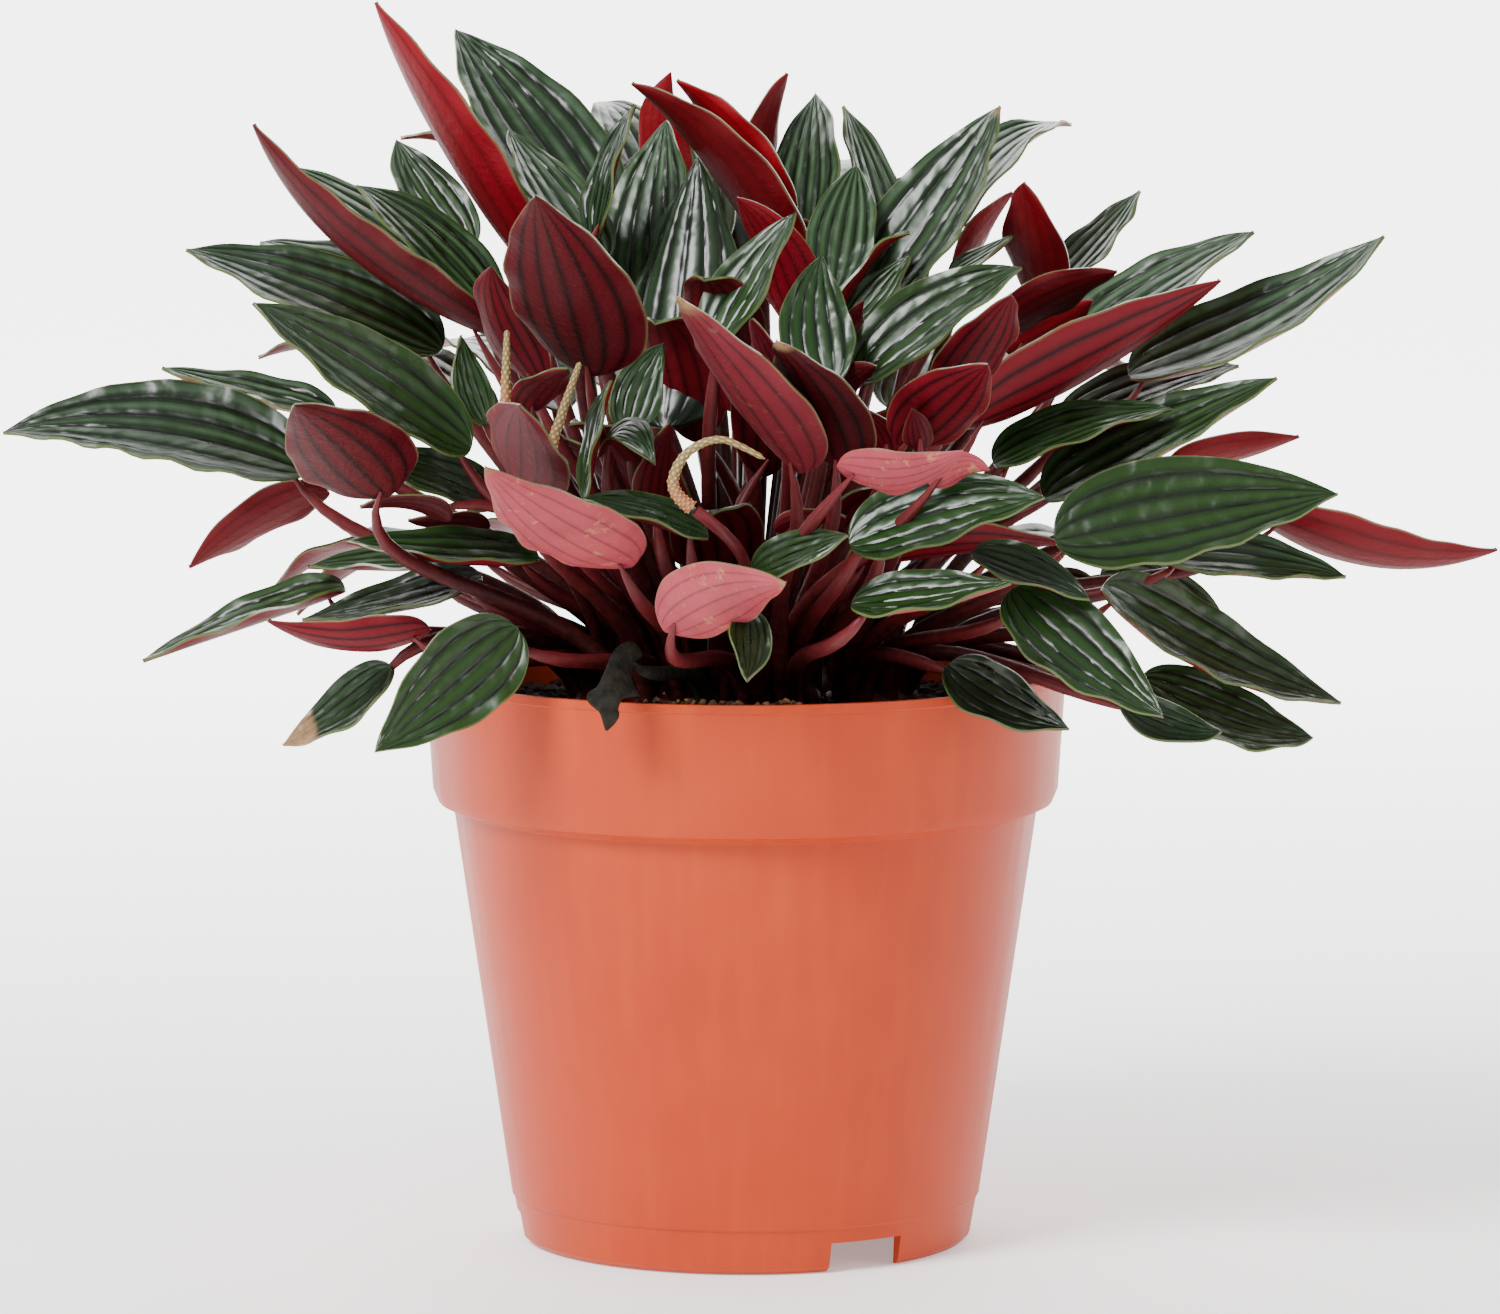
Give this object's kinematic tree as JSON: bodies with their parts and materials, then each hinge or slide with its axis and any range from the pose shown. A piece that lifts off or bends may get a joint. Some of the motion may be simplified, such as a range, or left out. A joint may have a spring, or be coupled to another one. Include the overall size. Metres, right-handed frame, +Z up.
{
  "type": "ripple peperomia",
  "caption": "Bushy potted houseplant with narrow rippled leaves, dark green above and crimson below, slim cream flower spikes and a tapered terracotta plastic pot.",
  "frame": {"origin": "on the pot's axis, at the plane its foot stands on", "axes": "+Z up along the pot's axis; +X to the picture's right; +Y away from the camera"},
  "size_m": [0.2798, 0.1926, 0.2313],
  "materials": {
    "pot": "satin",
    "soil": "matte",
    "leaf": "satin",
    "stalk": "satin",
    "spike": "matte",
    "withered": "matte"
  },
  "bodies": {
    "root": {"pot": "pot", "soil": "soil", "shoot_01": "leaf", "shoot_02": "leaf", "shoot_03": "leaf", "shoot_04": "leaf", "shoot_05": "leaf", "shoot_06": "leaf", "shoot_07": "leaf", "shoot_08": "leaf", "shoot_09": "leaf", "shoot_10": "leaf", "shoot_11": "leaf", "stalk_left": "stalk", "stalk_middle": "stalk", "stalk_hook": "stalk", "spike_left": "spike", "spike_middle": "spike", "spike_hook": "spike", "withered_leaf": "withered"}
  },
  "joints": []
}
